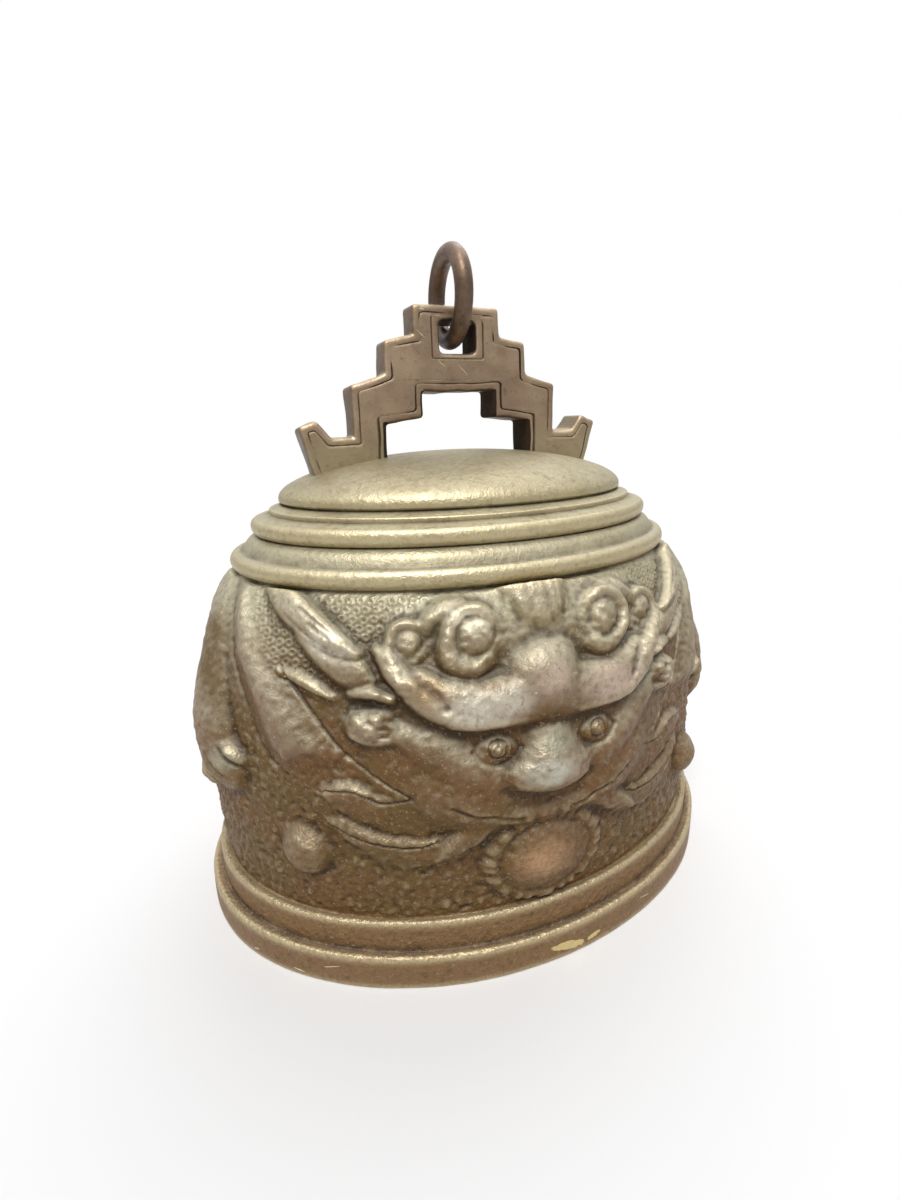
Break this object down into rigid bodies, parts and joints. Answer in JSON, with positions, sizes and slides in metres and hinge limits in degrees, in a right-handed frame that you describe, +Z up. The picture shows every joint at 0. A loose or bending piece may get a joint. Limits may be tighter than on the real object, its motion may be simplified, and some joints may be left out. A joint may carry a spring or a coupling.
{
  "type": "bronze temple bell",
  "caption": "Oval cast bronze temple bell with a guardian mask in relief, moulded shoulder and rim bands, stepped crown hanger, suspension ring and an iron clapper inside.",
  "frame": {"origin": "on the floor, at the centre of the rim", "axes": "+X along the oval's length and the crown, +Y to the back (the pictured mask looks along -Y), +Z up"},
  "size_m": [0.2096, 0.167, 0.2245],
  "materials": {
    "cast_bronze": "aged brown cast bronze with an olive patina, dark in the creases and rubbed bright on the edges",
    "crown_bronze": "aged brown bronze with rubbed edges",
    "ring_bronze": "coppery brown bronze, polished by wear",
    "forged_iron": "dark hammered iron with a thin brown rust"
  },
  "bodies": {
    "bell": {"bell_shell": "cast_bronze", "stepped_crown": "crown_bronze", "crown_rove_left": "crown_bronze", "crown_rove_right": "crown_bronze", "clapper_staple": "forged_iron"},
    "ring": {"suspension_ring": "ring_bronze"},
    "clapper": {"clapper_shank": "forged_iron", "clapper_ball": "forged_iron"}
  },
  "joints": [
    {"name": "ring_swing", "type": "hinge", "parent": "bell", "child": "ring", "pos_m": [0, 0, 0.19548], "axis": [0, 1, 0], "range_deg": [-84, 84]},
    {"name": "clapper_swing", "type": "hinge", "parent": "bell", "child": "clapper", "pos_m": [0, 0, 0.126], "axis": [1, 0, 0], "range_deg": [-31.5, 31.5]}
  ]
}
